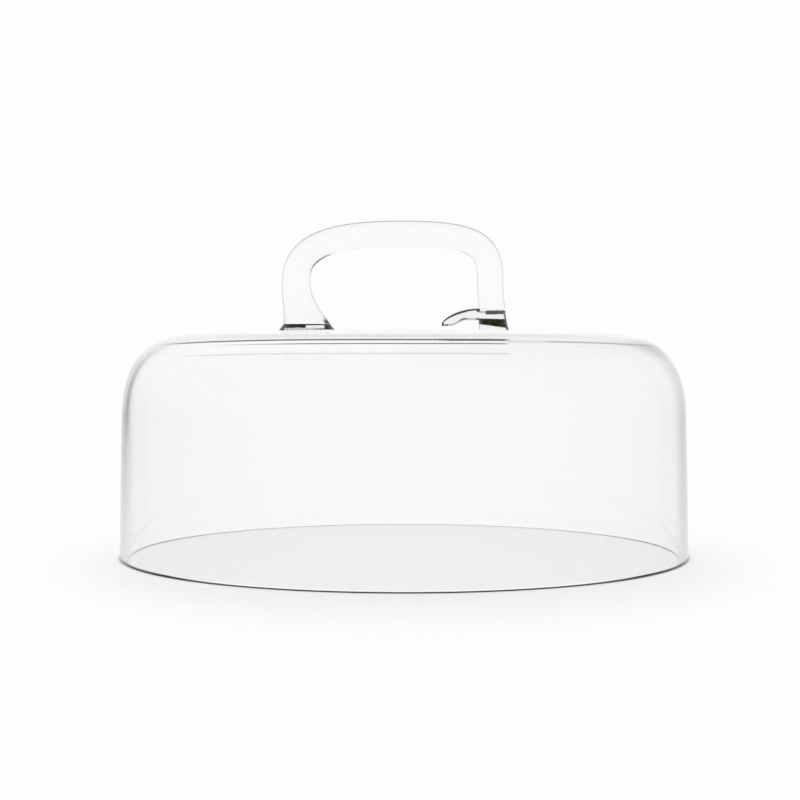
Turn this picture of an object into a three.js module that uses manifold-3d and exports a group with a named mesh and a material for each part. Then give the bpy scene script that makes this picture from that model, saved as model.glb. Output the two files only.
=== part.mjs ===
// A glass cake dome: a blown bell that stands on its rim, and a solid glass rod bent into a handle.
// Each end of the rod stands on a pad of glass that is welded to the crown of the bell.
// Millimetres, +Z up. The origin is the centre of the flat land that the rim stands on.
import * as THREE from "three";
import { mergeVertices } from "three/addons/utils/BufferGeometryUtils.js";
import Module from "manifold-3d";

const wasm = await Module();
wasm.setup();

// Bell
const RIM_DIAMETER = 280;
const BELL_HEIGHT = 111.3;
const WALL_THICKNESS = 4;
const CROWN_THICKNESS = 4.8;
const WALL_DRAFT_DEG = 1.2;
const CROWN_RADIUS = 2800;
const SHOULDER_REACH = 34;
const SHOULDER_DROP = 40;
const SHOULDER_FULLNESS = 0.655;
const RIM_EDGE_RADIUS = 1.3;

// Handle: the left leg is the one at -X, and leg tops are measured up from the crown's apex
const HANDLE_SPAN = 96;
const HANDLE_OFFSET = -5.4;
const BAR_RISE = 47.3;
const BAR_PEAK_SHIFT = 3.7;
const BAR_DIAMETER = 12.9;
const FOOT_UPRIGHT = 1.7;
const LEG_UPRIGHT = 10;
const LEFT_LEG_DIAMETER = 14.2;
const LEFT_LEG_RISE = 23.5;
const LEFT_BEND_FULLNESS = 0.71;
const LEFT_FOOT_INSET = 5.8;
const LEFT_FOOT_WIDTH = 22.8;
const LEFT_FOOT_DEPTH = 18.4;
const RIGHT_LEG_DIAMETER = 13.3;
const RIGHT_LEG_RISE = 25.5;
const RIGHT_BEND_FULLNESS = 0.8;
const RIGHT_FOOT_INSET = -1.8;
const RIGHT_FOOT_WIDTH = 13;
const RIGHT_FOOT_DEPTH = 14.2;

// Pads: the heights are from the crown to the seam where the rod is welded on
const WELD_GAP = 0.3;
const LEFT_PAD_HEIGHT = 3.5;
const LEFT_PAD_SPREAD = 3.4;
const RIGHT_PAD_HEIGHT = 11;
const RIGHT_PAD_SPREAD = 1.9;

// Lobe of the right pad: its reach is from the pad's side to its tip, and its heights are from the crown
const LOBE_REACH = 18.3;
const LOBE_DEPTH = 12.6;
const LOBE_TOP = 10.9;
const LOBE_ARCH = 4.8;
const LOBE_TIP_TOP = 3.1;
const LOBE_TIP_UNDER = 2;

// Facets
const BELL_SEGMENTS = 72;
const CROWN_STEPS = 6;
const SHOULDER_STEPS = 12;
const RIM_STEPS = 4;
const ROD_SIDES = 20;
const LEG_STEPS = 8;
const BEND_STEPS = 14;
const PAD_SIDES = 28;
const PAD_STEPS = 4;
const LOBE_RINGS = 14;

const rimRadius = RIM_DIAMETER / 2;
const draft = THREE.MathUtils.degToRad(WALL_DRAFT_DEG);
const barPeak = new THREE.Vector3(HANDLE_OFFSET + BAR_PEAK_SHIFT, 0, BELL_HEIGHT + BAR_RISE);

const clearGlass = new THREE.MeshStandardMaterial({
  color: 0xf4f7f6,
  roughness: 0.03,
  metalness: 0,
  transparent: true,
  opacity: 0.3,
});
const weldGlass = clearGlass.clone();
weldGlass.color.set(0xd9dccf);

// Solids and meshes

function toSolid(geometry) {
  const bare = new THREE.BufferGeometry().setAttribute("position", geometry.getAttribute("position"));
  bare.setIndex(geometry.getIndex());
  const merged = mergeVertices(bare);
  return new wasm.Manifold(
    new wasm.Mesh({
      numProp: 3,
      vertProperties: merged.getAttribute("position").array,
      triVerts: new Uint32Array(merged.getIndex().array),
    }),
  );
}

function toGeometry(solid) {
  const { vertProperties, triVerts } = solid.getMesh();
  return new THREE.BufferGeometry()
    .setAttribute("position", new THREE.BufferAttribute(vertProperties, 3))
    .setIndex(new THREE.BufferAttribute(triVerts, 1));
}

function piece(name, geometry, material) {
  const mesh = new THREE.Mesh(geometry, material);
  mesh.name = name;
  return mesh;
}

// A profile of (radius, height) points turned about Z
function revolve(profile) {
  return new THREE.LatheGeometry(profile, BELL_SEGMENTS).rotateX(Math.PI / 2);
}

// A closed body through elliptical rings. A ring has a centre, the unit direction of its width in the
// XZ plane, and half its size along that direction and along Y. The rings run from the first end to the last.
function loft(rings, sides) {
  const positions = [];
  const triangles = [];
  for (const { centre, across, halfWidth, halfDepth } of rings) {
    for (let i = 0; i < sides; i++) {
      const angle = (i / sides) * 2 * Math.PI;
      const point = centre.clone().addScaledVector(across, Math.cos(angle) * halfWidth);
      positions.push(point.x, point.y + Math.sin(angle) * halfDepth, point.z);
    }
  }
  for (let ring = 0; ring < rings.length - 1; ring++) {
    for (let i = 0; i < sides; i++) {
      const a = ring * sides + i;
      const b = ring * sides + ((i + 1) % sides);
      triangles.push(a, b, b + sides, a, b + sides, a + sides);
    }
  }
  const firstCap = rings.length * sides;
  const lastCap = firstCap + 1;
  positions.push(...rings.at(0).centre, ...rings.at(-1).centre);
  for (let i = 0; i < sides; i++) {
    const next = (i + 1) % sides;
    triangles.push(firstCap, next, i);
    triangles.push(lastCap, firstCap - sides + i, firstCap - sides + next);
  }
  return new THREE.BufferGeometry()
    .setAttribute("position", new THREE.Float32BufferAttribute(positions, 3))
    .setIndex(triangles);
}

// Bell: the outer line runs from the apex over the shoulder and down the drafted wall, and the inner line is
// the same line moved in by the glass's thickness, which grows from the wall's to the crown's as it turns up.

function crownHeight(radius) {
  return BELL_HEIGHT - CROWN_RADIUS + Math.sqrt(CROWN_RADIUS ** 2 - radius ** 2);
}

function wallRadius(height) {
  return rimRadius - (height - RIM_EDGE_RADIUS) * Math.tan(draft);
}

// The outer line from the apex to the top of the rim's edge, as points with their outward normals
function outerLine() {
  const line = [];
  const crownEdge = wallRadius(BELL_HEIGHT) - SHOULDER_REACH;
  const wallTop = crownHeight(crownEdge) - SHOULDER_DROP;
  const crownSlope = new THREE.Vector2(Math.sqrt(CROWN_RADIUS ** 2 - crownEdge ** 2), -crownEdge).normalize();
  const wallSlope = new THREE.Vector2(-Math.sin(draft), Math.cos(draft));
  const crownEnd = new THREE.Vector2(crownEdge, crownHeight(crownEdge));
  const wallEnd = new THREE.Vector2(wallRadius(wallTop), wallTop);
  const shoulder = new THREE.CubicBezierCurve(
    crownEnd,
    crownEnd.clone().addScaledVector(crownSlope, SHOULDER_REACH * SHOULDER_FULLNESS),
    wallEnd.clone().addScaledVector(wallSlope, SHOULDER_DROP * SHOULDER_FULLNESS),
    wallEnd,
  );
  for (let i = 0; i < CROWN_STEPS; i++) {
    const radius = (i / CROWN_STEPS) * crownEdge;
    const normal = new THREE.Vector2(radius, Math.sqrt(CROWN_RADIUS ** 2 - radius ** 2)).normalize();
    line.push({ point: new THREE.Vector2(radius, crownHeight(radius)), normal });
  }
  for (let i = 0; i <= SHOULDER_STEPS; i++) {
    const tangent = shoulder.getTangent(i / SHOULDER_STEPS);
    const normal = new THREE.Vector2(-tangent.y, tangent.x);
    line.push({ point: shoulder.getPoint(i / SHOULDER_STEPS), normal });
  }
  const wallNormal = new THREE.Vector2(Math.cos(draft), Math.sin(draft));
  line.push({ point: new THREE.Vector2(rimRadius, RIM_EDGE_RADIUS), normal: wallNormal });
  return line;
}

function innerLine() {
  return outerLine().map(({ point, normal }) => {
    const thickness = THREE.MathUtils.lerp(WALL_THICKNESS, CROWN_THICKNESS, Math.max(0, normal.y));
    return point.clone().addScaledVector(normal, -thickness);
  });
}

// The fire-polished rim: both edges rounded, with a flat land between them
function rimLine() {
  const edges = [
    { centre: rimRadius - RIM_EDGE_RADIUS, start: 0 },
    { centre: rimRadius - WALL_THICKNESS + RIM_EDGE_RADIUS, start: -Math.PI / 2 },
  ];
  return edges.flatMap(({ centre, start }) => {
    const arc = new THREE.EllipseCurve(
      centre, RIM_EDGE_RADIUS, RIM_EDGE_RADIUS, RIM_EDGE_RADIUS, start, start - Math.PI / 2, true,
    );
    return arc.getPoints(RIM_STEPS);
  });
}

function bell() {
  const outside = outerLine().map(({ point }) => point);
  const inside = innerLine().reverse();
  return revolve([...outside.slice(0, -1), ...rimLine(), ...inside.slice(1)].reverse());
}

// Everything below the crown's outer surface raised by the weld gap, for seating the pads on the crown
function crownSeat() {
  const raised = outerLine().map(({ point }) => new THREE.Vector2(point.x, point.y + WELD_GAP));
  return toSolid(revolve([...raised, new THREE.Vector2(0, raised.at(-1).y)].reverse()));
}

// Feet: where each leg is welded on. halfWidth and halfDepth are those of the rod's end on the seam.

function foot({ legX, inset, width, depth, padHeight, legDiameter, legRise, bendFullness }) {
  const inward = -Math.sign(legX - HANDLE_OFFSET);
  const x = legX + inward * inset;
  return {
    x,
    inward,
    seam: crownHeight(x) + padHeight,
    halfWidth: width / 2,
    halfDepth: depth / 2,
    legRadius: legDiameter / 2,
    legTop: new THREE.Vector3(legX, 0, BELL_HEIGHT + legRise),
    bendFullness,
  };
}

const leftFoot = foot({
  legX: HANDLE_OFFSET - HANDLE_SPAN / 2,
  inset: LEFT_FOOT_INSET,
  width: LEFT_FOOT_WIDTH,
  depth: LEFT_FOOT_DEPTH,
  padHeight: LEFT_PAD_HEIGHT,
  legDiameter: LEFT_LEG_DIAMETER,
  legRise: LEFT_LEG_RISE,
  bendFullness: LEFT_BEND_FULLNESS,
});
const rightFoot = foot({
  legX: HANDLE_OFFSET + HANDLE_SPAN / 2,
  inset: RIGHT_FOOT_INSET,
  width: RIGHT_FOOT_WIDTH,
  depth: RIGHT_FOOT_DEPTH,
  padHeight: RIGHT_PAD_HEIGHT,
  legDiameter: RIGHT_LEG_DIAMETER,
  legRise: RIGHT_LEG_RISE,
  bendFullness: RIGHT_BEND_FULLNESS,
});

// Handle

// Level rings from the seam up to the leg's top, where the rod runs straight up. The foot flares out below.
function legRings({ x, seam, halfWidth, halfDepth, legRadius, legTop }) {
  const start = new THREE.Vector3(x, 0, seam + WELD_GAP);
  const height = legTop.z - start.z;
  const axis = new THREE.CubicBezierCurve3(
    start,
    new THREE.Vector3(x, 0, start.z + FOOT_UPRIGHT),
    new THREE.Vector3(legTop.x, 0, legTop.z - LEG_UPRIGHT),
    legTop,
  );
  const rings = [];
  for (let i = 0; i < LEG_STEPS; i++) {
    const centre = axis.getPoint(i / LEG_STEPS);
    const flare = ((legTop.z - centre.z) / height) ** 2;
    rings.push({
      centre,
      across: new THREE.Vector3(1, 0, 0),
      halfWidth: THREE.MathUtils.lerp(legRadius, halfWidth, flare),
      halfDepth: THREE.MathUtils.lerp(legRadius, halfDepth, flare),
    });
  }
  return rings;
}

// Rings square to the rod from a leg's top round the bend to the peak of the bar
function bendRings({ legTop, legRadius, bendFullness }) {
  const barRadius = BAR_DIAMETER / 2;
  const corner = new THREE.Vector3(legTop.x, 0, barPeak.z);
  const axis = new THREE.CubicBezierCurve3(
    legTop,
    legTop.clone().lerp(corner, bendFullness),
    barPeak.clone().lerp(corner, bendFullness),
    barPeak,
  );
  const rings = [];
  for (let i = 0; i <= BEND_STEPS; i++) {
    const tangent = axis.getTangent(i / BEND_STEPS);
    const radius = THREE.MathUtils.lerp(barRadius, legRadius, (1 - i / BEND_STEPS) ** 2);
    rings.push({
      centre: axis.getPoint(i / BEND_STEPS),
      across: new THREE.Vector3(tangent.z, 0, -tangent.x),
      halfWidth: radius,
      halfDepth: radius,
    });
  }
  return rings;
}

function handle() {
  const up = [...legRings(leftFoot), ...bendRings(leftFoot)];
  const down = [...legRings(rightFoot), ...bendRings(rightFoot)].slice(0, -1).reverse();
  const turned = down.map((ring) => ({ ...ring, across: ring.across.clone().negate() }));
  return loft([...up, ...turned], ROD_SIDES);
}

// Pads

// A round pad from under the crown up to the seam, spreading out towards the crown in a hollow curve
function padBody({ x, seam, halfWidth, halfDepth }, spread) {
  const bottom = crownHeight(Math.abs(x) + halfWidth + spread) - WELD_GAP;
  const rings = [];
  for (let i = 0; i <= PAD_STEPS; i++) {
    const share = i / PAD_STEPS;
    const grown = spread * (1 - share) ** 2;
    rings.push({
      centre: new THREE.Vector3(x, 0, THREE.MathUtils.lerp(bottom, seam, share)),
      across: new THREE.Vector3(1, 0, 0),
      halfWidth: halfWidth + grown,
      halfDepth: halfDepth + grown,
    });
  }
  return toSolid(loft(rings, PAD_SIDES));
}

// The glass squeezed out on the inner side of the right leg: a tongue that leaves the pad under the seam,
// arches off the crown and bends down to a blunt tip. It starts inside the pad, on the leg's axis.
function padLobe({ x, inward, halfWidth }) {
  const root = x + inward * halfWidth;
  const rings = [];
  const addRing = (ringX, out) => {
    const fall = THREE.MathUtils.smoothstep(out, 0.35, 0.75);
    const top = THREE.MathUtils.lerp(LOBE_TIP_TOP, LOBE_TOP, (1 - out ** 2) ** 0.7);
    const under = THREE.MathUtils.lerp(LOBE_ARCH, LOBE_TIP_UNDER, fall);
    rings.push({
      centre: new THREE.Vector3(ringX, 0, crownHeight(root) + (top + under) / 2),
      across: new THREE.Vector3(0, 0, -inward),
      halfWidth: (top - under) / 2,
      halfDepth: (LOBE_DEPTH / 2) * THREE.MathUtils.lerp(0.2, 1, Math.sqrt(1 - out ** 2)),
    });
  };
  addRing(x, 0);
  for (let i = 0; i <= LOBE_RINGS; i++) {
    const out = Math.sin((i / LOBE_RINGS) * (Math.PI / 2));
    addRing(root + inward * out * LOBE_REACH, out);
  }
  return toSolid(loft(rings, PAD_SIDES));
}

function leftPad() {
  return toGeometry(padBody(leftFoot, LEFT_PAD_SPREAD).subtract(crownSeat()));
}

function rightPad() {
  const body = padBody(rightFoot, RIGHT_PAD_SPREAD).add(padLobe(rightFoot));
  return toGeometry(body.subtract(crownSeat()));
}

const cakeDome = new THREE.Group();
cakeDome.add(
  piece("bell", bell(), clearGlass),
  piece("handle", handle(), clearGlass),
  piece("left_foot_pad", leftPad(), weldGlass),
  piece("right_foot_pad", rightPad(), weldGlass),
);

export default cakeDome;
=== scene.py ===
# %% [markdown]
# # A glass cake dome
# This lesson dresses a finished construction model. The model is loaded as a fixed frame, in metres, with Z up
# and the rim of the bell standing on Z = 0. Each piece of glass is modelled again as a smooth mesh in the same
# place, because glass shows every facet: what we see of it is only bent light.

# %% Load the frame
from math import cos, pi, radians, sin, sqrt, tan

import bmesh
import bpy
from mathutils import Matrix, Vector
from mathutils.geometry import interpolate_bezier


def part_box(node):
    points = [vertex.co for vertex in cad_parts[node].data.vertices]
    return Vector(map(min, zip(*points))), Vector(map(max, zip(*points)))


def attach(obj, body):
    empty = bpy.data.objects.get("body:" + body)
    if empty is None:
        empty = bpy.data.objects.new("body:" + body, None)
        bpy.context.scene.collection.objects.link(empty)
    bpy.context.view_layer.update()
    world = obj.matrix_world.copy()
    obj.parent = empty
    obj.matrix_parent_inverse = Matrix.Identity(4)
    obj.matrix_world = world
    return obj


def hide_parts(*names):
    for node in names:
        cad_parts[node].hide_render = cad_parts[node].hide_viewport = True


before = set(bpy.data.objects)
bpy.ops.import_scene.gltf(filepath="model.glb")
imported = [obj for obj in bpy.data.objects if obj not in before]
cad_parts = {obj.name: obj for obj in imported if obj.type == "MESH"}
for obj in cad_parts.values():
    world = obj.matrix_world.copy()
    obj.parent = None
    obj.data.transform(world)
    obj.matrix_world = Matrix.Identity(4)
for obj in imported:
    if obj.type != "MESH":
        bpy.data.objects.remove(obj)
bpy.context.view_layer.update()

MM = 0.001

# %% [markdown]
# ## The camera
# The photograph was taken from about the height of the crown and 0.9 m away, so the crown is seen edge-on and the
# rim as a flat ellipse. Height, tilt and lens were worked out from that ellipse. The camera stands a little to the
# left, because the bell stands a little to the right of the picture's middle.

# %% Camera
PICTURE = 800
FOCAL_PIXELS = 1825
SENSOR = 36
CAMERA_PLACE = Vector((-1.95, -905, 110.5)) * MM
CAMERA_TILT = radians(2.164)

camera_data = bpy.data.cameras.new("camera")
camera_data.sensor_width = SENSOR
camera_data.lens = SENSOR * FOCAL_PIXELS / PICTURE
camera = bpy.data.objects.new("camera", camera_data)
camera.location = CAMERA_PLACE
camera.rotation_euler = (pi / 2 - CAMERA_TILT, 0, 0)
bpy.context.collection.objects.link(camera)
bpy.context.scene.camera = camera
print("lens, mm:", round(camera_data.lens, 1))

# %% [markdown]
# ## Short steps for shaders
# A shader is a tree of nodes. Most of what we need are masks, numbers from 0 to 1 that say where a colour goes. Each
# helper here adds one step to a tree and gives back its output. A soft step is 0 on one side of a border and 1 on the
# other, a product of masks is 1 only where all of them are, and a ramp turns a number into a grey.

# %% Sums, products, soft steps and ramps
def calculate(tree, operation, *values):
    """A Math node; each value is a number or the output of another node."""
    node = tree.nodes.new("ShaderNodeMath")
    node.operation = operation
    for socket, value in zip(node.inputs, values):
        if isinstance(value, (int, float)):
            socket.default_value = value
        else:
            tree.links.new(value, socket)
    return node.outputs["Value"]


def product(tree, *masks):
    result = masks[0]
    for mask in masks[1:]:
        result = calculate(tree, "MULTIPLY", result, mask)
    return result


def soft_step(tree, value, start, end):
    """0 before start and 1 after end, with a soft rise; start may be the larger one."""
    step = tree.nodes.new("ShaderNodeMapRange")
    step.interpolation_type = "SMOOTHSTEP"
    step.inputs["From Min"].default_value = min(start, end)
    step.inputs["From Max"].default_value = max(start, end)
    if start > end:
        step.inputs["To Min"].default_value, step.inputs["To Max"].default_value = 1, 0
    tree.links.new(value, step.inputs["Value"])
    return step.outputs["Result"]


def within(tree, value, *borders):
    """1 inside all the borders; each is where its soft step starts and where it ends, in mm."""
    return product(tree, *(soft_step(tree, value, start * MM, end * MM) for start, end in borders))


def ramp(tree, value, stops):
    """A grey for each value from 0 to 1; each stop is a value and its grey."""
    node = tree.nodes.new("ShaderNodeValToRGB")
    points = node.color_ramp.elements
    for i, (place, grey) in enumerate(stops):
        point = points[i] if i < 2 else points.new(place)
        point.position = place
        point.color = (grey, grey, grey, 1)
    tree.links.new(value, node.inputs["Fac"])
    return node.outputs["Color"]


# %% [markdown]
# ## The glass
# Clear glass has no colour of its own to paint. It is a Principled BSDF that transmits all light and bends it by
# its index of refraction, with a volume that takes a little light away along the path. Two things make it look
# like a real, hand-worked piece. Its edges, seen at a glancing angle, get a painted grey shade from a Layer Weight
# node, which stands in for the surroundings that the glass bends into view. And hot glass is never quite even: a
# shared node group gives a slow waviness for the bump and faint smears for the roughness, on Object coordinates in
# metres.

# %% The uneven surface of hot glass, as a node group
SURFACE_INPUTS = (("Wave size", 20.0), ("Smear size", 90.0), ("Smear roughness", 0.02))
WAVE_DETAIL = 1.0
SMEAR_DETAIL = 4.0
SMEAR_DISTORTION = 1.5
SMEAR_START, SMEAR_END = 0.55, 0.8


def new_group(name, inputs, outputs):
    """An empty group of number sockets, its inner inputs and its inner outputs; inputs have a name and a value."""
    group = bpy.data.node_groups.new(name, "ShaderNodeTree")
    for socket_name, value in inputs:
        socket = group.interface.new_socket(socket_name, in_out="INPUT", socket_type="NodeSocketFloat")
        socket.default_value = value
    for socket_name in outputs:
        group.interface.new_socket(socket_name, in_out="OUTPUT", socket_type="NodeSocketFloat")
    return group, group.nodes.new("NodeGroupInput").outputs, group.nodes.new("NodeGroupOutput").inputs


def hot_glass_group():
    group, given, result = new_group("hot_glass_surface", SURFACE_INPUTS, ("Height", "Roughness"))
    nodes, links = group.nodes, group.links
    place = nodes.new("ShaderNodeTexCoord")
    wave = nodes.new("ShaderNodeTexNoise")
    wave.inputs["Detail"].default_value = WAVE_DETAIL
    smear = nodes.new("ShaderNodeTexNoise")
    smear.inputs["Detail"].default_value = SMEAR_DETAIL
    smear.inputs["Distortion"].default_value = SMEAR_DISTORTION
    patchy = nodes.new("ShaderNodeMapRange")
    patchy.inputs["From Min"].default_value = SMEAR_START
    patchy.inputs["From Max"].default_value = SMEAR_END
    links.new(place.outputs["Object"], wave.inputs["Vector"])
    links.new(place.outputs["Object"], smear.inputs["Vector"])
    links.new(given["Wave size"], wave.inputs["Scale"])
    links.new(given["Smear size"], smear.inputs["Scale"])
    links.new(smear.outputs["Fac"], patchy.inputs["Value"])
    links.new(given["Smear roughness"], patchy.inputs["To Max"])
    links.new(wave.outputs["Fac"], result["Height"])
    links.new(patchy.outputs["Result"], result["Roughness"])
    return group


HOT_GLASS = hot_glass_group()
print("node group:", HOT_GLASS.name)

# %% [markdown]
# Where the glass was welded, dark olive shade is painted into its colour, standing in for the dark that the bent
# glass of the welds shows. Each place of painted shade is a zone between two upright lines at Left and Right, and
# between a lower and an upper line that may slope. One node group turns such a zone into a soft mask, and a little
# noise keeps its borders from being ruled lines.

# %% A zone of painted shade, as a node group
ZONE_SOCKETS = ("Left", "Right", "Low at left", "Low at right", "High at left", "High at right", "Strength")
ZONE_BLUR = 0.25 * MM
ZONE_NOISE_SCALE = 500
ZONE_NOISE_REACH = 0.6 * MM


def shade_zone_group():
    group, given, result = new_group("weld_shade_zone", [(name, 0.0) for name in ZONE_SOCKETS], ("Mask",))
    nodes, links = group.nodes, group.links
    place = nodes.new("ShaderNodeTexCoord")
    noise = nodes.new("ShaderNodeTexNoise")
    noise.inputs["Scale"].default_value = ZONE_NOISE_SCALE
    centred = nodes.new("ShaderNodeVectorMath")
    centred.operation = "SUBTRACT"
    centred.inputs[1].default_value = (0.5, 0.5, 0.5)
    shifted = nodes.new("ShaderNodeVectorMath")
    shifted.operation = "MULTIPLY_ADD"
    shifted.inputs[1].default_value = (ZONE_NOISE_REACH, ZONE_NOISE_REACH, ZONE_NOISE_REACH)
    axes = nodes.new("ShaderNodeSeparateXYZ")
    links.new(place.outputs["Object"], noise.inputs["Vector"])
    links.new(noise.outputs["Color"], centred.inputs[0])
    links.new(centred.outputs["Vector"], shifted.inputs[0])
    links.new(place.outputs["Object"], shifted.inputs[2])
    links.new(shifted.outputs["Vector"], axes.inputs["Vector"])
    x, z = axes.outputs["X"], axes.outputs["Z"]

    def above(low, high):
        """1 where high is above low, falling softly to 0 where it isn't."""
        return soft_step(group, calculate(group, "SUBTRACT", high, low), -ZONE_BLUR, ZONE_BLUR)

    def sloping(name):
        """The height of the lower or upper line at this X."""
        line = nodes.new("ShaderNodeMapRange")
        line.clamp = False
        links.new(x, line.inputs["Value"])
        links.new(given["Left"], line.inputs["From Min"])
        links.new(given["Right"], line.inputs["From Max"])
        links.new(given[name + " at left"], line.inputs["To Min"])
        links.new(given[name + " at right"], line.inputs["To Max"])
        return line.outputs["Result"]

    mask = product(
        group, given["Strength"], above(given["Left"], x), above(x, given["Right"]),
        above(sloping("Low"), z), above(z, sloping("High")),
    )
    links.new(mask, result["Mask"])
    return group


SHADE_ZONE = shade_zone_group()
print("node group:", SHADE_ZONE.name, "inputs:", len(ZONE_SOCKETS))

# %% [markdown]
# A glass material is put together from small steps. The first makes plain clear glass. The others each multiply one
# more colour into its Base Color, where their masks say so: the painted edge shade, a zone of painted shade, or the
# tint of the shadow. The painted edge shade and the zones go only on glass that we look at directly, so that they
# aren't counted again wherever the same glass is seen through another wall.

# %% Plain clear glass
GLASS_COLOUR = (0.996, 0.996, 0.996, 1)
GLASS_IOR = 1.47
ABSORPTION_COLOUR = (0.64, 0.66, 0.63, 1)
ABSORPTION_DENSITY = 3.5
WAVE_DEPTH = 0.02 * MM
SMEAR_ROUGHNESS = 0.004


def clear_glass(name, wave_size):
    material = bpy.data.materials.new(name)
    material.use_nodes = True
    nodes, links = material.node_tree.nodes, material.node_tree.links
    shader = nodes["Principled BSDF"]
    shader.inputs["Base Color"].default_value = GLASS_COLOUR
    shader.inputs["Transmission Weight"].default_value = 1.0
    shader.inputs["IOR"].default_value = GLASS_IOR
    surface = nodes.new("ShaderNodeGroup")
    surface.node_tree = HOT_GLASS
    surface.inputs["Wave size"].default_value = wave_size
    surface.inputs["Smear roughness"].default_value = SMEAR_ROUGHNESS
    bump = nodes.new("ShaderNodeBump")
    bump.inputs["Strength"].default_value = 1.0
    bump.inputs["Distance"].default_value = WAVE_DEPTH
    links.new(surface.outputs["Height"], bump.inputs["Height"])
    links.new(bump.outputs["Normal"], shader.inputs["Normal"])
    links.new(surface.outputs["Roughness"], shader.inputs["Roughness"])
    volume = nodes.new("ShaderNodeVolumeAbsorption")
    volume.inputs["Color"].default_value = ABSORPTION_COLOUR
    volume.inputs["Density"].default_value = ABSORPTION_DENSITY
    links.new(volume.outputs["Volume"], nodes["Material Output"].inputs["Volume"])
    return material


# %% What the masks of a material read
def object_axes(tree):
    """The Object coordinates, and their X and Z."""
    place = tree.nodes.new("ShaderNodeTexCoord")
    axes = tree.nodes.new("ShaderNodeSeparateXYZ")
    tree.links.new(place.outputs["Object"], axes.inputs["Vector"])
    return place.outputs["Object"], axes.outputs["X"], axes.outputs["Z"]


def directly_seen(tree):
    path = tree.nodes.new("ShaderNodeLightPath")
    return path.outputs["Is Camera Ray"]


def zone_mask(tree, left, right, low, high, strength=1.0):
    """The mask of a zone where shade is painted or left out, in mm; low and high are pairs, the height at the left and
    at the right.
    """
    painted_shade = tree.nodes.new("ShaderNodeGroup")
    painted_shade.node_tree = SHADE_ZONE
    for name, value in zip(ZONE_SOCKETS, (left, right, *low, *high)):
        painted_shade.inputs[name].default_value = value * MM
    painted_shade.inputs["Strength"].default_value = strength
    return painted_shade.outputs["Mask"]


def outside(tree, mask):
    return calculate(tree, "SUBTRACT", 1, mask)


# %% Mix a colour into the glass
def mix_in(tree, colour, *masks):
    """Multiply a colour, given as values or as a socket, into the Base Color where all the masks are 1."""
    base = tree.nodes["Principled BSDF"].inputs["Base Color"]
    blend = tree.nodes.new("ShaderNodeMix")
    blend.data_type = "RGBA"
    blend.blend_type = "MULTIPLY"
    if base.is_linked:
        tree.links.new(base.links[0].from_socket, blend.inputs["A"])
    else:
        blend.inputs["A"].default_value = base.default_value
    if isinstance(colour, tuple):
        blend.inputs["B"].default_value = (*colour, 1)
    else:
        tree.links.new(colour, blend.inputs["B"])
    tree.links.new(product(tree, *masks), blend.inputs["Factor"])
    tree.links.new(blend.outputs["Result"], base)


def paint_edge_shade(tree, stops, *masks):
    """Paint edge shade into the glass from facing us (0) to edge-on (1); each stop is a place and how clear the glass
    is there.
    """
    weight = tree.nodes.new("ShaderNodeLayerWeight")
    mix_in(tree, ramp(tree, weight.outputs["Facing"], stops), *masks)


def add_shadow(tree, colour):
    """Tint the light that goes on from the floor through the glass, which makes its shadow a little darker."""
    path = tree.nodes.new("ShaderNodeLightPath")
    mix_in(tree, colour, soft_step(tree, path.outputs["Diffuse Depth"], 0, 1))


# %% [markdown]
# The bell's edges get a soft grey painted shade, which stands in for the surroundings the glass bends into view. It is
# strongest at the wall and weaker on the shoulder. The two sides differ a little, so each has its own share of the
# painted edge shade for each height.

# %% The glass of the bell
BLOWN_WAVES = 14.0
BELL_SHADOW = (0.91, 0.91, 0.915)
BELL_EDGES = (
    (0, 0.975), (0.39, 0.89), (0.56, 0.845), (0.606, 0.78), (0.69, 0.745), (0.718, 0.67), (0.743, 0.51),
    (0.771, 0.355), (0.804, 0.21), (0.821, 0.13), (0.868, 0.07), (0.95, 0),
)

bell_glass = clear_glass("clear_blown_glass", BLOWN_WAVES)
bell_tree = bell_glass.node_tree
bell_place, bell_x, bell_z = object_axes(bell_tree)
bell_seen = directly_seen(bell_tree)
add_shadow(bell_tree, BELL_SHADOW)

# %% How strong the painted edge shade is at each height
LEFT_SHARES = (
    (0, 0.6), (27, 0.8), (55, 0.98), (71, 1), (81, 0.72), (91, 0.42), (97, 0.27), (102, 0.22), (107, 0),
)
RIGHT_SHARES = (
    (0, 0.65), (27, 0.82), (56, 0.88), (71, 0.92), (81, 0.8), (91, 0.62), (97, 0.57), (102, 0.9), (104, 0.9), (107, 0),
)
MIDDLE_BLEND = 10


def share_by_height(tree, height, stops):
    """A share for each height, as a ramp; each stop is a height in mm and its share."""
    top = stops[-1][0]
    level = calculate(tree, "DIVIDE", height, top * MM)
    return ramp(tree, level, [(place / top, share) for place, share in stops])


for side_shares, side in ((LEFT_SHARES, -1), (RIGHT_SHARES, 1)):
    on_side = within(bell_tree, bell_x, (-side * MIDDLE_BLEND, side * MIDDLE_BLEND))
    paint_edge_shade(bell_tree, BELL_EDGES, bell_seen, on_side, share_by_height(bell_tree, bell_z, side_shares))

# %% [markdown]
# Where the crown turns into the shoulder, fine dark lines are painted into the glass's colour as shade, standing in for
# the dark surroundings that the glass bends into view for someone who looks along the crown. Each is a thin ring that
# dips a little to the left and right, and the Layer Weight lets it show only from such a low angle. The upper line is
# boldest under the right foot, soft beside it and thin further right. Above it, the ends of the crown's edge get a
# little painted grey shade.

# %% Heights that dip to the sides
DIP = 2.8 * MM
DIP_REACH = 115 * MM
DIP_POWER = 3


def dipping_height(tree, x, height):
    """The height plus a rise to the sides, so that a ring at one value of it dips there."""
    share = calculate(tree, "ABSOLUTE", calculate(tree, "DIVIDE", x, DIP_REACH))
    return calculate(tree, "MULTIPLY_ADD", calculate(tree, "POWER", share, DIP_POWER), DIP, height)


ring_height = dipping_height(bell_tree, bell_x, bell_z)
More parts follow.
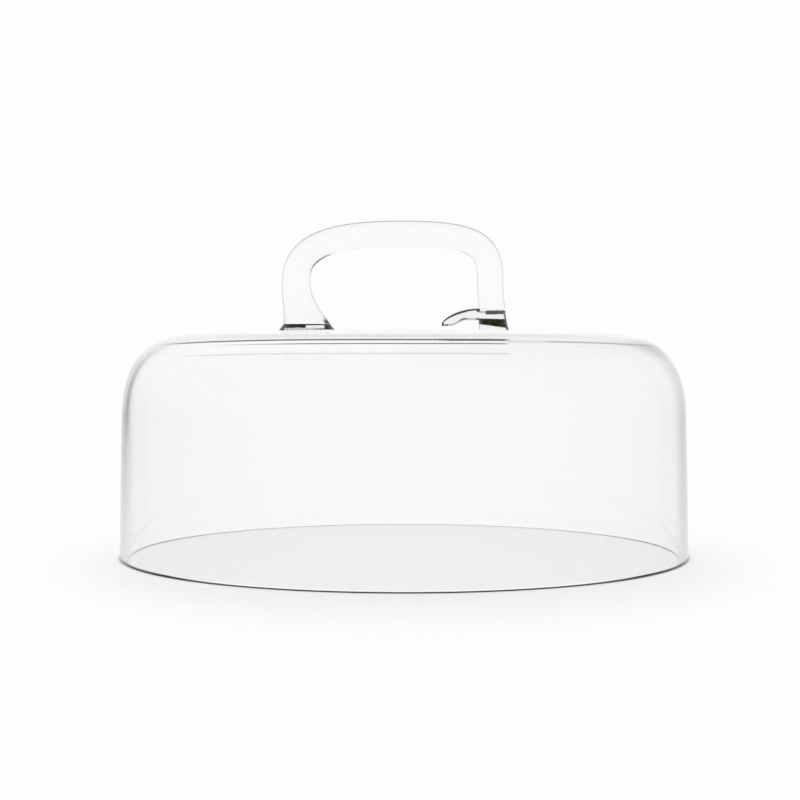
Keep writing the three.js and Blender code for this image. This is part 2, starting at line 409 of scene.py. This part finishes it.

# %% Fine lines of painted shade along the crown's edge
UPPER_LINE = ((0, 1), (0.45, 1), (0.58, 0), (0.78, 0), (0.92, 0.8), (1, 1))
THIN_LINE = ((0, 1), (0.45, 1), (0.58, 0.2), (0.78, 0.2), (0.92, 0.6), (1, 1))
SOFT_LINE = ((0, 1), (0.45, 1), (0.58, 0.62), (0.78, 0.62), (0.92, 0.8), (1, 1))
LOWER_LINE = ((0, 1), (0.36, 1), (0.46, 0.03), (0.56, 0.03), (0.66, 0.9), (1, 1))
FAINT_LINE = ((0, 1), (0.17, 1), (0.26, 0.6), (0.48, 0.6), (0.64, 1), (1, 1))
CROWN_EDGE = ((0, 1), (0.45, 1), (0.6, 0.84), (1, 0.84))
FROM_FOOT = (12, 20)
TO_FOOT_END = (47, 43)
FROM_FOOT_END = (43, 47)
TO_THIN_LINE = (68, 56)
FROM_THIN_LINE = (56, 66)
FAR_LEFT = (-35, -70)
FAR_RIGHT = (35, 70)
# Each line has its ramp, its height and half thickness in mm, and its borders along X.
CROWN_LINES = (
    (UPPER_LINE, 106.83, 0.44, (TO_FOOT_END,)),
    (UPPER_LINE, 106.75, 0.66, (FROM_FOOT, TO_FOOT_END)),
    (SOFT_LINE, 106.2, 0.9, (FROM_FOOT_END, TO_THIN_LINE)),
    (THIN_LINE, 106.35, 0.5, (FROM_THIN_LINE,)),
    (LOWER_LINE, 105.15, 0.34, (TO_FOOT_END,)),
    (FAINT_LINE, 100.95, 0.4, (TO_FOOT_END,)),
    (CROWN_EDGE, 108.3, 1.3, (FAR_LEFT,)),
    (CROWN_EDGE, 108.3, 1.3, (FAR_RIGHT,)),
)

for stops, height, half, x_borders in CROWN_LINES:
    z_borders = ((height - half, height - half / 2), (height + half, height + half / 2))
    ring = within(bell_tree, ring_height, *z_borders)
    paint_edge_shade(bell_tree, stops, bell_seen, within(bell_tree, bell_x, *x_borders), ring)
print("lines along the crown:", len(CROWN_LINES))

# %% [markdown]
# Two more dark lines are painted into the bell's colour: a streak of painted shade in the left shoulder, and a painted
# contact shadow along the line where the outer skin of the rim meets the floor. At the two ends of the rim that line is
# seen edge-on, and there its painted shade is a little higher.

# %% The streak of painted shade in the left shoulder
SHOULDER_LINE = ((0, 1), (0.755, 1), (0.79, 0.12), (0.825, 0.06), (0.86, 0.7), (1, 1))
STREAK_SIDE = (-95, -115)
STREAK_HEIGHTS = ((50, 74), (114, 84))

in_shoulder = within(bell_tree, bell_z, *STREAK_HEIGHTS)
paint_edge_shade(bell_tree, SHOULDER_LINE, bell_seen, within(bell_tree, bell_x, STREAK_SIDE), in_shoulder)

# %% The painted contact shadow at the rim
RIM_SKIN = (138.4, 138.9)
RIM_LINE = (0.75, 0.5)
RIM_SHADOW_COLOUR = (0.0002, 0.0002, 0.0002)
RIM_END_LINE = (1.35, 1.1)
RIM_END_EDGES = ((0, 1), (0.3, 1), (0.5, 0), (1, 0))

flat_place = bell_tree.nodes.new("ShaderNodeVectorMath")
flat_place.operation = "MULTIPLY"
flat_place.inputs[1].default_value = (1, 1, 0)
radius = bell_tree.nodes.new("ShaderNodeVectorMath")
radius.operation = "LENGTH"
bell_tree.links.new(bell_place, flat_place.inputs[0])
bell_tree.links.new(flat_place.outputs["Vector"], radius.inputs[0])
outer_skin = within(bell_tree, radius.outputs["Value"], RIM_SKIN)
mix_in(bell_tree, RIM_SHADOW_COLOUR, outer_skin, within(bell_tree, bell_z, RIM_LINE))
paint_edge_shade(bell_tree, RIM_END_EDGES, bell_seen, outer_skin, within(bell_tree, bell_z, RIM_END_LINE))
print("material:", bell_glass.name, "nodes:", len(bell_tree.nodes))

# %% [markdown]
# The rod gets a thin painted outline of shade, which stands in for the surroundings the glass bends into view. It is
# strongest along the top of the bar, weaker on the legs and almost gone under the bar. The painted shade is darker in
# two places: at the corner above the left pad, and in the hollow of the left bend.

# %% The glass of the rod
ROD_EDGES = ((0, 0.985), (0.5, 0.96), (0.6, 0.8), (0.66, 0.4), (0.73, 0.08), (1, 0))
LEG_SHARE = 0.65
LEG_TOP, BAR_LEVEL = 145 * MM, 155 * MM
UNDER_BAR = (-36, 28, (146, 146), (153.5, 153.5), 0.85)

rod_glass = clear_glass("clear_rod_glass", BLOWN_WAVES)
rod_tree = rod_glass.node_tree
_, rod_x, rod_z = object_axes(rod_tree)
rod_seen = directly_seen(rod_tree)
rod_share = rod_tree.nodes.new("ShaderNodeMapRange")
rod_share.inputs["From Min"].default_value = LEG_TOP
rod_share.inputs["From Max"].default_value = BAR_LEVEL
rod_share.inputs["To Min"].default_value = LEG_SHARE
rod_tree.links.new(rod_z, rod_share.inputs["Value"])
not_under_bar = outside(rod_tree, zone_mask(rod_tree, *UNDER_BAR))
paint_edge_shade(rod_tree, ROD_EDGES, rod_seen, rod_share.outputs["Result"], not_under_bar)

# %% Darker painted shade on the rod
STREAK_EDGES = ((0, 0.985), (0.42, 0.95), (0.52, 0.5), (0.6, 0.02), (0.66, 0), (1, 0))
DARK_EDGES = ((0, 0.985), (0.3, 0.95), (0.37, 0.5), (0.41, 0.01), (0.43, 0), (1, 0))
CORNER_SIDE = (-48, -43)
CORNER_HEIGHT = (118.5, 116)
SEAM_HEIGHT = (116.6, 115.4)
BEND_SIDE = (-31, -41)
BEND_HEIGHTS = ((137, 144), (151.5, 147))
BEND_HOLLOW = (-50, -30, (136, 144), (149, 153))

corner_x, corner_z = within(rod_tree, rod_x, CORNER_SIDE), within(rod_tree, rod_z, CORNER_HEIGHT)
paint_edge_shade(rod_tree, STREAK_EDGES, rod_seen, corner_x, corner_z)
paint_edge_shade(rod_tree, DARK_EDGES, rod_seen, corner_x, corner_z, within(rod_tree, rod_z, SEAM_HEIGHT))
bend_x, bend_z = within(rod_tree, rod_x, BEND_SIDE), within(rod_tree, rod_z, *BEND_HEIGHTS)
paint_edge_shade(rod_tree, STREAK_EDGES, rod_seen, bend_x, bend_z, zone_mask(rod_tree, *BEND_HOLLOW))
print("material:", rod_glass.name, "nodes:", len(rod_tree.nodes))

# %% [markdown]
# ## From bmesh to a piece
# Each piece of glass is made in a bmesh, and then becomes an object at the origin that rides on the one body of
# this object and stands for its construction solid. Round surfaces are shaded smooth, and the few real edges, such
# as the rod's cut ends, stay sharp.

# %% Finish a piece
SHARP_EDGE = radians(40)
MERGE_DISTANCE = 0.001 * MM


def finish_piece(name, shape, node, material):
    bmesh.ops.remove_doubles(shape, verts=shape.verts, dist=MERGE_DISTANCE)
    bmesh.ops.recalc_face_normals(shape, faces=shape.faces)
    mesh = bpy.data.meshes.new(name)
    shape.to_mesh(mesh)
    shape.free()
    mesh.shade_smooth()
    mesh.set_sharp_from_angle(angle=SHARP_EDGE)
    mesh.materials.append(material)
    piece = bpy.data.objects.new(name, mesh)
    bpy.context.collection.objects.link(piece)
    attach(piece, "root")
    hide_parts(node)
    low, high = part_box(node)
    size = [round((b - a) / MM, 1) for a, b in zip(low, high)]
    print(name, "faces:", len(mesh.polygons), "stands for a box of", size)


# %% [markdown]
# ## The bell
# A blown bell is a body of revolution, so half of its section is drawn once and spun about Z. The section is a thin
# closed outline: the nearly flat crown, a shoulder that turns down in one soft curve, a wall that leans in a little,
# and a rim whose two edges were rounded in the flame. The shoulders are Bezier curves, because a blown shoulder turns
# fast near the crown and then eases slowly into the wall, which a circle can't do.

# %% Sizes of the bell
RIM_RADIUS = 139.99 * MM
BELL_HEIGHT = 111.3 * MM
WALL = 4 * MM
CROWN = 4.8 * MM
WALL_DRAFT = radians(1.2)
CROWN_RADIUS = 2800 * MM
SHOULDER_REACH = 34 * MM
SHOULDER_DROP = 40 * MM
SHOULDER_FULLNESS = 0.655
RIM_EDGE = 1.3 * MM
SKIN_STEPS = 24
RIM_STEPS = 8
SPIN_STEPS = 360


def crown_height(radius):
    return BELL_HEIGHT - CROWN_RADIUS + sqrt(CROWN_RADIUS**2 - radius**2)


def wall_radius(height):
    return RIM_RADIUS - (height - RIM_EDGE) * tan(WALL_DRAFT)


# %% The section of the bell
def skin_line(inset_crown, inset_wall):
    """Points from the axis over the shoulder to the top of the rim's edge, moved in by the two insets."""
    edge = wall_radius(BELL_HEIGHT) - SHOULDER_REACH
    crown_end = Vector((edge, 0, crown_height(edge) - inset_crown))
    wall_end_height = crown_height(edge) - SHOULDER_DROP
    wall_end = Vector((wall_radius(wall_end_height) - inset_wall, 0, wall_end_height))
    crown_slope = Vector((1, 0, -edge / sqrt(CROWN_RADIUS**2 - edge**2))).normalized()
    wall_slope = Vector((-sin(WALL_DRAFT), 0, cos(WALL_DRAFT)))
    reach = (SHOULDER_REACH - inset_wall) * SHOULDER_FULLNESS
    drop = (SHOULDER_DROP - inset_crown) * SHOULDER_FULLNESS
    radii = [edge * i / SKIN_STEPS for i in range(SKIN_STEPS)]
    crown = [Vector((radius, 0, crown_height(radius) - inset_crown)) for radius in radii]
    shoulder = interpolate_bezier(
        crown_end, crown_end + crown_slope * reach, wall_end + wall_slope * drop, wall_end, 2 * SKIN_STEPS
    )
    rim_top = Vector((RIM_RADIUS - inset_wall, 0, RIM_EDGE))
    wall = [wall_end.lerp(rim_top, i / SKIN_STEPS) for i in range(1, SKIN_STEPS)]
    return crown + shoulder + wall


def rim_arc(centre_radius, start):
    """The rounded edge of the rim: a quarter circle turning down from the outside, or up on the inside."""
    turn = [start - pi / 2 * i / RIM_STEPS for i in range(RIM_STEPS + 1)]
    return [Vector((centre_radius + RIM_EDGE * cos(a), 0, RIM_EDGE + RIM_EDGE * sin(a))) for a in turn]


def bell_section():
    outer_line = skin_line(0, 0)
    inner_line = skin_line(CROWN, WALL)
    rim = rim_arc(RIM_RADIUS - RIM_EDGE, 0) + rim_arc(RIM_RADIUS - WALL + RIM_EDGE, -pi / 2)
    return outer_line + rim + inner_line[::-1]


# %% Spin the section
def spun(points, steps):
    shape = bmesh.new()
    verts = [shape.verts.new(point) for point in points]
    edges = [shape.edges.new(pair) for pair in zip(verts, verts[1:])]
    bmesh.ops.spin(
        shape, geom=verts + edges, cent=(0, 0, 0), axis=(0, 0, 1), dvec=(0, 0, 0),
        angle=2 * pi, steps=steps, use_merge=True, use_duplicate=False,
    )
    return shape


finish_piece("blown_bell", spun(bell_section(), SPIN_STEPS), "bell", bell_glass)

# %% [markdown]
# ## The rod
# The handle is one rod of solid glass, bent by hand in the flame, so its two bends differ: the left one is wide and the
# right one tight. It thickens towards the legs, and the left leg spreads inwards where it was pressed on. A rod like
# this is a row of rings, each bridged to the next. The rings stand square to the rod in the bends and level in the
# legs, so that the feet end flat.

# %% Sizes of the handle
HANDLE_SPAN = 96 * MM
HANDLE_OFFSET = -5.4 * MM
BAR_PEAK = Vector((HANDLE_OFFSET + 3.7 * MM, 0, BELL_HEIGHT + 47.3 * MM))
BAR_RADIUS = 12.9 * MM / 2
FOOT_UPRIGHT = 1.7 * MM
LEG_UPRIGHT = 10 * MM
WELD_GAP = 0.12 * MM
RING_SIDES = 128
LEG_STEPS = 40
BEND_STEPS = 80


class Foot:
    """Where one leg stands, with sizes given in mm. Widths are along X and depths along Y."""

    def __init__(self, side, inset, width, depth, pad_height, leg_diameter, leg_rise, fullness):
        leg_x = HANDLE_OFFSET + side * HANDLE_SPAN / 2
        self.inward = -side
        self.x = leg_x - side * inset * MM
        self.seam = crown_height(self.x) + pad_height * MM
        self.half_width = width * MM / 2
        self.half_depth = depth * MM / 2
        self.leg_radius = leg_diameter * MM / 2
        self.leg_top = Vector((leg_x, 0, BELL_HEIGHT + leg_rise * MM))
        self.fullness = fullness


left_foot = Foot(
    side=-1, inset=5.3, width=23.3, depth=18.4, pad_height=3.1, leg_diameter=14.2, leg_rise=23.5, fullness=0.71
)
right_foot = Foot(
    side=1, inset=-1.05, width=13.3, depth=14.2, pad_height=10.6, leg_diameter=13.0, leg_rise=25.5, fullness=0.80
)
print("seams at", [round(foot.seam / MM, 1) for foot in (left_foot, right_foot)])


# %% Rings for a loft
def mix(a, b, share):
    return a + (b - a) * share


def ring_place(centre, across, half_width, half_depth):
    """The matrix that puts a unit circle at centre, half_width along across and half_depth along Y."""
    normal = across.cross(Vector((0, 1, 0)))
    turn = Matrix((across, (0, 1, 0), normal)).transposed().to_4x4()
    return Matrix.Translation(centre) @ turn @ Matrix.Diagonal((half_width, half_depth, 1, 1))


def loft(places, sides):
    shape = bmesh.new()
    loops = []
    for place in places:
        ring = bmesh.ops.create_circle(shape, segments=sides, radius=1, matrix=place)["verts"]
        loops.append(list({edge for vert in ring for edge in vert.link_edges}))
    for lower, upper in zip(loops, loops[1:]):
        bmesh.ops.bridge_loops(shape, edges=lower + upper)
    for end in (loops[0], loops[-1]):
        bmesh.ops.contextual_create(shape, geom=end)
    return shape


# %% The rod's rings
def leg_places(foot):
    start = Vector((foot.x, 0, foot.seam + WELD_GAP))
    foot_pull = start + Vector((0, 0, FOOT_UPRIGHT))
    leg_pull = foot.leg_top - Vector((0, 0, LEG_UPRIGHT))
    axis = interpolate_bezier(start, foot_pull, leg_pull, foot.leg_top, LEG_STEPS + 1)
    places = []
    for centre in axis[:-1]:
        flare = ((foot.leg_top.z - centre.z) / (foot.leg_top.z - start.z)) ** 2
        half_width = mix(foot.leg_radius, foot.half_width, flare)
        half_depth = mix(foot.leg_radius, foot.half_depth, flare)
        places.append(ring_place(centre, Vector((1, 0, 0)), half_width, half_depth))
    return places


def bend_places(foot):
    corner = Vector((foot.leg_top.x, 0, BAR_PEAK.z))
    leg_pull = foot.leg_top.lerp(corner, foot.fullness)
    bar_pull = BAR_PEAK.lerp(corner, foot.fullness)
    axis = interpolate_bezier(foot.leg_top, leg_pull, bar_pull, BAR_PEAK, BEND_STEPS + 1)
    places = []
    for i, centre in enumerate(axis):
        ahead = axis[min(i + 1, BEND_STEPS)] - axis[max(i - 1, 0)]
        if i == 0:
            ahead = Vector((0, 0, 1))
        if i == BEND_STEPS:
            ahead = BAR_PEAK - corner
        ahead.normalize()
        radius = mix(BAR_RADIUS, foot.leg_radius, (1 - i / BEND_STEPS) ** 2)
        places.append(ring_place(centre, Vector((ahead.z, 0, -ahead.x)), radius, radius))
    return places


def rod():
    up = leg_places(left_foot) + bend_places(left_foot)
    down = leg_places(right_foot) + bend_places(right_foot)[:-1]
    return loft(up + [place @ Matrix.Rotation(pi, 4, "Z") for place in down[::-1]], RING_SIDES)


finish_piece("glass_rod_handle", rod(), "handle", rod_glass)

# %% [markdown]
# ## The left pad
# Under the flared leg lies a thin pad of glass, pressed flat on the crown, that spreads to a thin edge. It is a loft
# too, cut off along the crown. Over so small a foot the crown is as good as a plane, tilted by the crown's slope there.

# %% Pads
PAD_STEPS = 14
CUT_TOLERANCE = 1e-7


def crown_plane(x):
    """A point just over the crown at x, and the crown's normal there."""
    normal = Vector((x, 0, sqrt(CROWN_RADIUS**2 - x**2))).normalized()
    return Vector((x, 0, crown_height(x) + WELD_GAP)), normal


def cut_below(shape, point, normal):
    """Take away what lies under a plane, and close the cut."""
    geometry = list(shape.verts) + list(shape.edges) + list(shape.faces)
    result = bmesh.ops.bisect_plane(
        shape, geom=geometry, dist=CUT_TOLERANCE, plane_co=point, plane_no=normal, clear_inner=True
    )
    cut_edges = [item for item in result["geom_cut"] if isinstance(item, bmesh.types.BMEdge)]
    bmesh.ops.contextual_create(shape, geom=cut_edges)


def pad_body(foot, left_spread, right_spread, hollow):
    """A pad that spreads towards the crown, in a straight line where hollow is 1 and in a hollow curve above that."""
    bottom = crown_height(abs(foot.x) + foot.half_width + right_spread) - WELD_GAP
    wider, lean = (right_spread + left_spread) / 2, (right_spread - left_spread) / 2
    places = []
    for i in range(PAD_STEPS + 1):
        share = i / PAD_STEPS
        grown = (1 - share) ** hollow
        centre = Vector((foot.x + lean * grown, 0, mix(bottom, foot.seam, share)))
        half_width = foot.half_width + wider * grown
        half_depth = foot.half_depth + right_spread * grown
        places.append(ring_place(centre, Vector((1, 0, 0)), half_width, half_depth))
    return loft(places, RING_SIDES)


# %% [markdown]
# The painted shade of the welds has five colours. In glass a colour counts by its square root, because it is meant to
# be met twice, on the way in and on the way out, so the dark ones are darker here than they look. A low Specular Tint
# keeps the reflection of the white room from greying the painted black.

# %% Colours of the painted shade at the welds
BLACK = (0.0001, 0.0001, 0.0001)
OLIVE = (0.0008, 0.0007, 0.0002)
BROWN = (0.06, 0.05, 0.02)
GREY = (0.012, 0.012, 0.011)
PALE = (0.87, 0.87, 0.85)
WELD_WAVES = 60.0
WELD_SPECULAR_TINT = (0.03, 0.03, 0.03, 1)


def weld_glass(name, painted_shade):
    """Glass with zones of painted shade; each has its colour, and then what zone_mask takes."""
    material = clear_glass(name, WELD_WAVES)
    tree = material.node_tree
    tree.nodes["Principled BSDF"].inputs["Specular Tint"].default_value = WELD_SPECULAR_TINT
    seen = directly_seen(tree)
    for colour, *zone in painted_shade:
        mix_in(tree, colour, seen, zone_mask(tree, *zone))
    return material


# %% The glass of the left pad
# Painted shade: dark olive, black and grey zones, dark pad ends and a grey line along the foot, painted into the
# glass's colour as seen directly.
THICK_EDGES = ((0, 0.975), (0.2, 0.93), (0.28, 0.5), (0.33, 0.01), (0.36, 0), (1, 0))
LEFT_WELD_SHADE = (
    (OLIVE, -61, -47.9, (111.9, 112.0), (114.6, 114.6)),
    (BLACK, -61, -36, (113.2, 113.3), (114.6, 114.6)),
    (GREY, -62, -34, (110, 110), (111.8, 111.9), 0.65),
    (BROWN, -39.2, -36, (111.8, 111.8), (113.4, 113.4), 0.9),
    (BLACK, -68, -59, (109, 109), (114.6, 114.6)),
    (BLACK, -36.9, -28, (109, 109), (114.6, 114.6)),
)
PAD_ENDS = ((-58, -59.6), (-40.2, -38.4))
FOOT_LINE = (-62, -34, (109, 109), (111.8, 111.9), 0.95)
FOOT_LINE_RISE = (-50, -38)

left_glass = weld_glass("left_weld_glass", LEFT_WELD_SHADE)
left_tree = left_glass.node_tree
_, left_x, _ = object_axes(left_tree)
left_seen = directly_seen(left_tree)
for pad_end in PAD_ENDS:
    paint_edge_shade(left_tree, THICK_EDGES, left_seen, within(left_tree, left_x, pad_end))
foot_line = zone_mask(left_tree, *FOOT_LINE)
mix_in(left_tree, GREY, left_seen, foot_line, within(left_tree, left_x, FOOT_LINE_RISE))
print("material:", left_glass.name, "zones of painted shade:", len(LEFT_WELD_SHADE))

# %% The left pad
left_shape = pad_body(left_foot, left_spread=2.7 * MM, right_spread=3.0 * MM, hollow=1.15)
cut_below(left_shape, *crown_plane(left_foot.x))
finish_piece("left_weld_pad", left_shape, "left_foot_pad", left_glass)

# %% [markdown]
# ## The right pad
# The right leg stands on a taller pad, and some of its glass was squeezed out to the inner side as a tongue that
# arches off the crown and bends down to a blunt tip. The tongue is a loft of upright rings: its upper line falls like
# the quarter of an egg, and its lower line runs level and then drops to the tip. A Boolean union joins it to the pad,
# and leaves the crisp line between them that the weld shows.

# %% The tongue of the right pad
TONGUE_REACH = 18.3 * MM
TONGUE_HALF_DEPTH = 8.6 * MM / 2
TONGUE_TOP = 10.65 * MM
TONGUE_ARCH = 4.8 * MM
TONGUE_TIP_TOP = 3.1 * MM
TONGUE_TIP_UNDER = 2 * MM
TONGUE_TIP_DEPTH = 0.2
TONGUE_ROUNDNESS = 0.7
TONGUE_DROP = (0.35, 0.75)
TONGUE_STEPS = 48
TONGUE_SIDES = 64


def eased(value, start, end):
    share = min(max((value - start) / (end - start), 0), 1)
    return share * share * (3 - 2 * share)


def tongue(foot):
    root = foot.x + foot.inward * foot.half_width
    places = []
    for i in range(-1, TONGUE_STEPS + 1):
        out = sin(max(i, 0) / TONGUE_STEPS * pi / 2)
        top = mix(TONGUE_TIP_TOP, TONGUE_TOP, (1 - out**2) ** TONGUE_ROUNDNESS)
        under = mix(TONGUE_ARCH, TONGUE_TIP_UNDER, eased(out, *TONGUE_DROP))
        half_depth = TONGUE_HALF_DEPTH * mix(TONGUE_TIP_DEPTH, 1, sqrt(1 - out**2))
        x = foot.x if i < 0 else root + foot.inward * out * TONGUE_REACH
        centre = Vector((x, 0, crown_height(root) + (top + under) / 2))
        places.append(ring_place(centre, Vector((0, 0, 1)), (top - under) / 2, half_depth))
    return loft(places, TONGUE_SIDES)


# %% Join the tongue to its pad
def helper_object(shape):
    bmesh.ops.recalc_face_normals(shape, faces=shape.faces)
    mesh = bpy.data.meshes.new("helper")
    shape.to_mesh(mesh)
    shape.free()
    helper = bpy.data.objects.new("helper", mesh)
    bpy.context.collection.objects.link(helper)
    return helper


def united(first, second):
    """The Boolean union of two closed shapes, as a new bmesh."""
    body, tool = helper_object(first), helper_object(second)
    union = body.modifiers.new("union", "BOOLEAN")
    union.operation = "UNION"
    union.solver = "EXACT"
    union.object = tool
    ready = body.evaluated_get(bpy.context.evaluated_depsgraph_get())
    result = bmesh.new()
    result.from_mesh(ready.to_mesh())
    for helper in (body, tool):
        bpy.data.meshes.remove(helper.data)
    return result


# %% [markdown]
# The right pad gets a little painted grey shade all over, with a painted dark band above and a darker one below. Its
# outer edge gets painted dark shade, and so does the tongue's outline, thick at the tip and thinner at the root, and
# fainter along the tongue's lower side.

# %% The glass of the right pad
RIGHT_WELD_SHADE = (
    (GREY, 40.2, 54, (118.6, 118.8), (120.6, 120.8)),
    (GREY, 36.8, 40.4, (119.6, 119.5), (120.3, 120.3), 0.85),
    (OLIVE, 37.0, 54, (113.8, 111.5), (116.8, 116.3)),
    (BLACK, 35.8, 37.5, (119.9, 119.9), (123, 123)),
    (BLACK, 35.6, 37.8, (114.3, 114.3), (117.0, 116.6)),
    (BLACK, 17, 19.8, (112, 112), (115.2, 114.6)),
)
PAD_EDGES = ((0, 0.985), (0.42, 0.95), (0.5, 0.5), (0.56, 0.01), (0.6, 0), (1, 0))
OUTER_SIDE = (45, 48)
OUTER_HEIGHT = (119.5, 118.5)
UNDER_TONGUE = (22, 37.4, (110, 110), (113.9, 119.0), 0.3)
TIP_SIDE = (33, 30)
ROOT_SIDES = ((26, 29), (37.6, 37.2))

right_glass = weld_glass("right_weld_glass", RIGHT_WELD_SHADE)
right_tree = right_glass.node_tree
_, right_x, right_z = object_axes(right_tree)
right_seen = directly_seen(right_tree)
# Painted shade: a pale grey over the whole pad as seen directly.
mix_in(right_tree, PALE, right_seen)
outer_x, outer_z = within(right_tree, right_x, OUTER_SIDE), within(right_tree, right_z, OUTER_HEIGHT)
paint_edge_shade(right_tree, PAD_EDGES, right_seen, outer_x, outer_z)
not_under = outside(right_tree, zone_mask(right_tree, *UNDER_TONGUE))
paint_edge_shade(right_tree, THICK_EDGES, right_seen, not_under, within(right_tree, right_x, TIP_SIDE))
paint_edge_shade(right_tree, DARK_EDGES, right_seen, not_under, within(right_tree, right_x, *ROOT_SIDES))
print("material:", right_glass.name, "zones of painted shade:", len(RIGHT_WELD_SHADE))

# %% The right pad
right_body = pad_body(right_foot, left_spread=0, right_spread=1.9 * MM, hollow=2)
right_shape = united(right_body, tongue(right_foot))
cut_below(right_shape, *crown_plane(right_foot.x))
finish_piece("right_weld_pad", right_shape, "right_foot_pad", right_glass)

# %% [markdown]
# ## Floor and light
# The dome stands on a white floor that runs into a white background with no line between them. Near the dome the floor
# is a plain diffuse white that takes the soft shadow; further out it fades to the background's own white. The light is
# an even white room, as inside a light tent. What the camera sees of the room, straight or through the glass, is the
# background's white.

# %% Floor
BACKGROUND = (0.982, 0.982, 0.993, 1)
PAPER = (0.95, 0.95, 0.96, 1)
FLOOR_RADIUS = 6.0
FLOOR_SIDES = 96
FLOOR_DROP = 0.02 * MM
FADE_START = 0.19
FADE_END = 0.27
FADE_NARROWER = 1.45
FADE_SHIFT = -7 * MM


def floor_material():
    material = bpy.data.materials.new("studio_floor")
    material.use_nodes = True
    tree = material.node_tree
    nodes, links = tree.nodes, tree.links
    nodes.remove(nodes["Principled BSDF"])
    paper = nodes.new("ShaderNodeBsdfDiffuse")
    paper.inputs["Color"].default_value = PAPER
    glow = nodes.new("ShaderNodeEmission")
    glow.inputs["Color"].default_value = BACKGROUND
    place = nodes.new("ShaderNodeTexCoord")
    oval = nodes.new("ShaderNodeVectorMath")
    oval.operation = "MULTIPLY_ADD"
    oval.inputs[1].default_value = (FADE_NARROWER, 1, 1)
    oval.inputs[2].default_value = (FADE_SHIFT, 0, 0)
    distance = nodes.new("ShaderNodeVectorMath")
    distance.operation = "LENGTH"
    blend = nodes.new("ShaderNodeMixShader")
    links.new(place.outputs["Object"], oval.inputs[0])
    links.new(oval.outputs["Vector"], distance.inputs[0])
    links.new(soft_step(tree, distance.outputs["Value"], FADE_START, FADE_END), blend.inputs["Fac"])
    links.new(paper.outputs["BSDF"], blend.inputs[1])
    links.new(glow.outputs["Emission"], blend.inputs[2])
    links.new(blend.outputs["Shader"], nodes["Material Output"].inputs["Surface"])
    return material


floor_shape = bmesh.new()
bmesh.ops.create_circle(floor_shape, cap_ends=True, segments=FLOOR_SIDES, radius=FLOOR_RADIUS)
floor_mesh = bpy.data.meshes.new("studio_floor")
floor_shape.to_mesh(floor_mesh)
floor_shape.free()
floor_mesh.materials.append(floor_material())
floor = bpy.data.objects.new("studio_floor", floor_mesh)
floor.location.z = -FLOOR_DROP
bpy.context.collection.objects.link(floor)
print("floor radius, metres:", FLOOR_RADIUS)

# %% [markdown]
# The room is brighter at the back than at the front, which lays the shadow in front of the dome. That counts only for
# light that reaches the floor; a path that has met no floor yet sees the plain backdrop.

# %% Room light
ROOM_LEVEL = 1.03
ROOM_SLOPE = 0.5
HALF_BOUNCE = 0.5


def room_light():
    world = bpy.data.worlds.new("studio_room")
    world.use_nodes = True
    tree = world.node_tree
    nodes, links = tree.nodes, tree.links
    room = nodes["Background"]
    room.inputs["Color"].default_value = (1, 1, 1, 1)
    way = nodes.new("ShaderNodeTexCoord")
    axes = nodes.new("ShaderNodeSeparateXYZ")
    links.new(way.outputs["Generated"], axes.inputs["Vector"])
    level = calculate(tree, "MULTIPLY_ADD", axes.outputs["Y"], ROOM_SLOPE, ROOM_LEVEL)
    links.new(level, room.inputs["Strength"])
    backdrop = nodes.new("ShaderNodeBackground")
    backdrop.inputs["Color"].default_value = BACKGROUND
    path = nodes.new("ShaderNodeLightPath").outputs
    seen = calculate(tree, "MAXIMUM", path["Is Camera Ray"], path["Is Glossy Ray"])
    seen = calculate(tree, "MAXIMUM", seen, path["Is Transmission Ray"])
    no_floor_yet = calculate(tree, "LESS_THAN", path["Diffuse Depth"], HALF_BOUNCE)
    choose = nodes.new("ShaderNodeMixShader")
    links.new(product(tree, seen, no_floor_yet), choose.inputs["Fac"])
    links.new(room.outputs["Background"], choose.inputs[1])
    links.new(backdrop.outputs["Background"], choose.inputs[2])
    links.new(choose.outputs["Shader"], nodes["World Output"].inputs["Surface"])
    return world


bpy.context.scene.world = room_light()
print("room light:", bpy.context.scene.world.name)

# %% [markdown]
# ## Render settings
# Light crosses many walls of glass before it leaves, so the paths are allowed many bounces; with too few, the glass
# turns black where it is thick. The glossy filter is off, because it would blur the bent light at the edges.

# %% Render settings that glass needs
scene = bpy.context.scene
scene.view_settings.view_transform = "Standard"
scene.cycles.max_bounces = 96
scene.cycles.transmission_bounces = 64
scene.cycles.glossy_bounces = 64
scene.cycles.blur_glossy = 0
scene.cycles.diffuse_bounces = 4
print("bounces:", scene.cycles.max_bounces)
